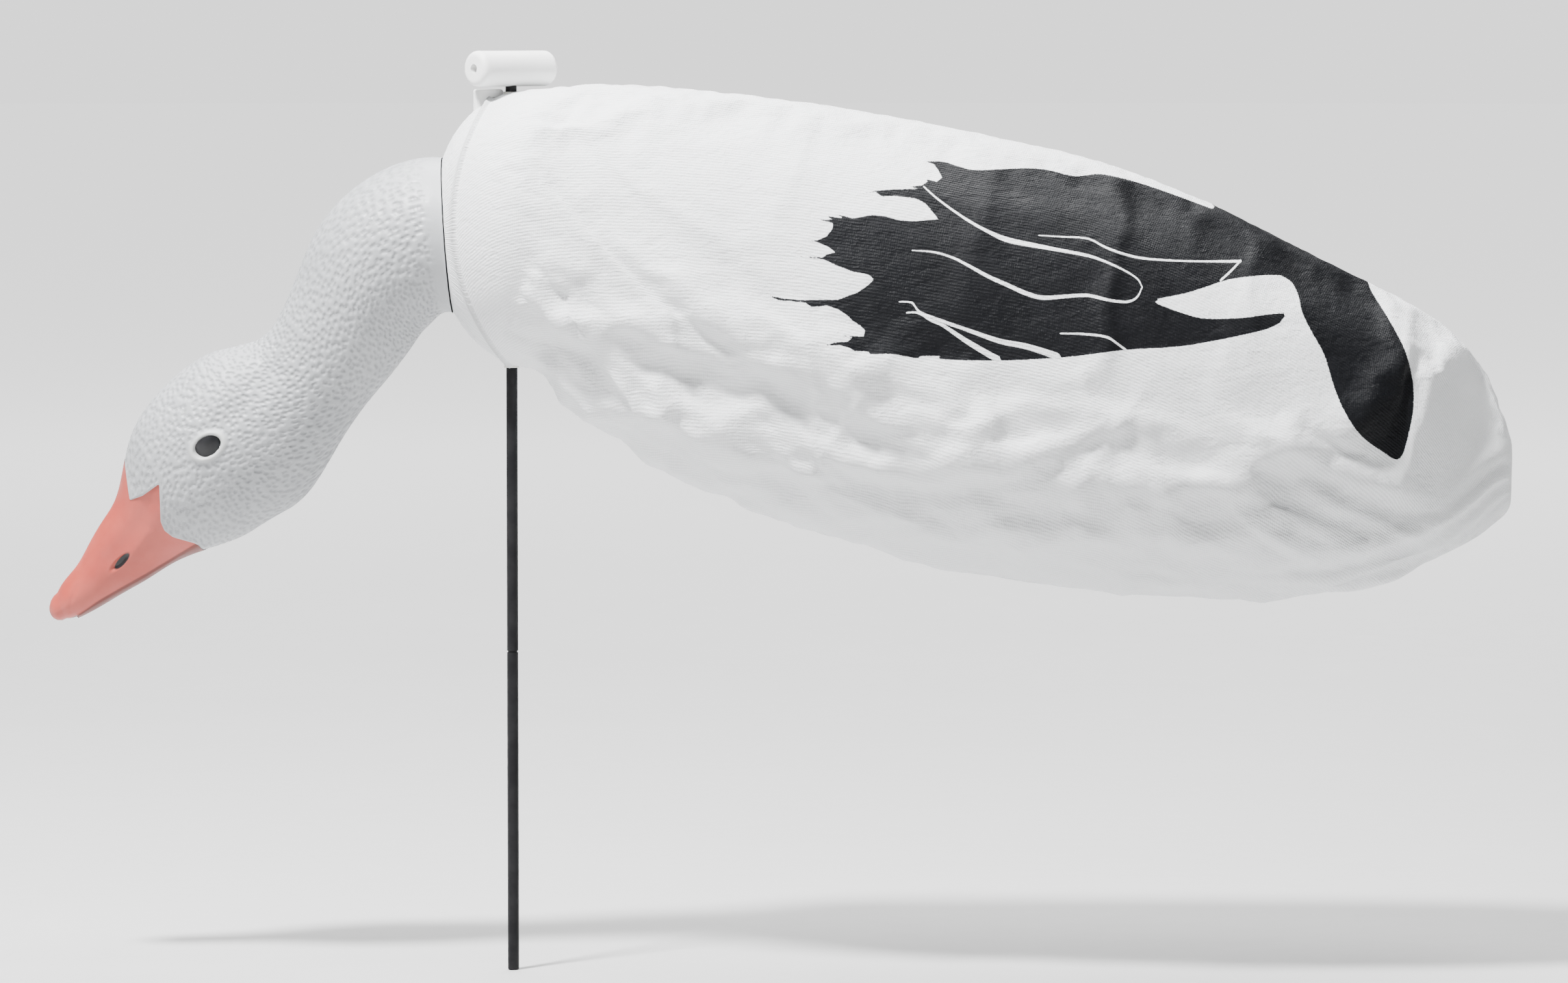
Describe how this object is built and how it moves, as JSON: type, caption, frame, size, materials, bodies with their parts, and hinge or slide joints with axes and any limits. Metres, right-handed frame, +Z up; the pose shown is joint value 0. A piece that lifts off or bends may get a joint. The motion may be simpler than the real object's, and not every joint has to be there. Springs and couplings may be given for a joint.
{
  "type": "windsock goose decoy",
  "caption": "Feeding white goose decoy on a ground stake: hollow moulded head and neck, turning collar, and a crumpled fabric windsock body with black wing and tail print.",
  "frame": {"origin": "centre of the ground stake's bottom end", "axes": "+Z up along the stake, +X towards the tail, so the bird faces -X; its own left side is at -Y"},
  "size_m": [0.8222, 0.208, 0.519],
  "materials": {
    "stake_black": "satin black coating over steel rod",
    "handle_white": "moulded, satin, slightly scuffed",
    "stop_rubber": "matte black",
    "washer_nylon": "natural nylon",
    "collar_white": "moulded, satin",
    "bush_acetal": "smooth acetal",
    "post_white": "moulded, satin",
    "hem_fabric": "spunbonded sheet, finely pleated",
    "hem_cord": "cord under spunbonded sheet",
    "bag_fabric": "crumpled spunbonded sheet with a black wing and tail print",
    "frame_black": "moulded black nylon",
    "screw_steel": "zinc plated",
    "pin_steel": "bright steel",
    "head_grey": "blow moulded with a dimpled feather texture",
    "bill_salmon": "smooth moulded, darker along the lower edge",
    "eye_black": "satin black bead",
    "retainer_white": "moulded nylon",
    "backbone_grey": "pultruded glass fibre rod",
    "tip_rubber": "matte black",
    "loop_steel": "spring wire"
  },
  "bodies": {
    "stake": {"stake_rod": "stake_black", "push_handle": "handle_white", "stop_ring": "stop_rubber", "thrust_washer": "washer_nylon"},
    "decoy": {"collar": "collar_white", "top_bush": "bush_acetal", "bottom_bush": "bush_acetal", "top_post": "post_white", "post_screw": "screw_steel", "hem_band": "hem_fabric", "hem_cord": "hem_cord", "bag_mouth": "bag_fabric", "hub_bracket": "frame_black", "bracket_screws": "screw_steel", "hinge_pin": "pin_steel"},
    "head": {"head_neck": "head_grey", "bill": "bill_salmon", "eye_left": "eye_black", "eye_right": "eye_black", "neck_retainer": "retainer_white"},
    "bag": {"bag": "bag_fabric", "backbone": "backbone_grey", "backbone_tip": "tip_rubber", "spreader_loop": "loop_steel", "frame_hub": "frame_black"}
  },
  "joints": [
    {"name": "swing", "type": "hinge", "parent": "stake", "child": "decoy", "pos_m": [0, 0, 0.4186], "axis": [0, 0, 1], "continuous": true},
    {"name": "neck_twist", "type": "hinge", "parent": "decoy", "child": "head", "pos_m": [0.01, 0, 0.4186], "axis": [0.9976, 0, 0.0698], "range_deg": [-40, 20]},
    {"name": "bag_lift", "type": "hinge", "parent": "decoy", "child": "bag", "pos_m": [0.016, 0, 0.474], "axis": [0, -1, 0], "range_deg": [0, 15]}
  ]
}
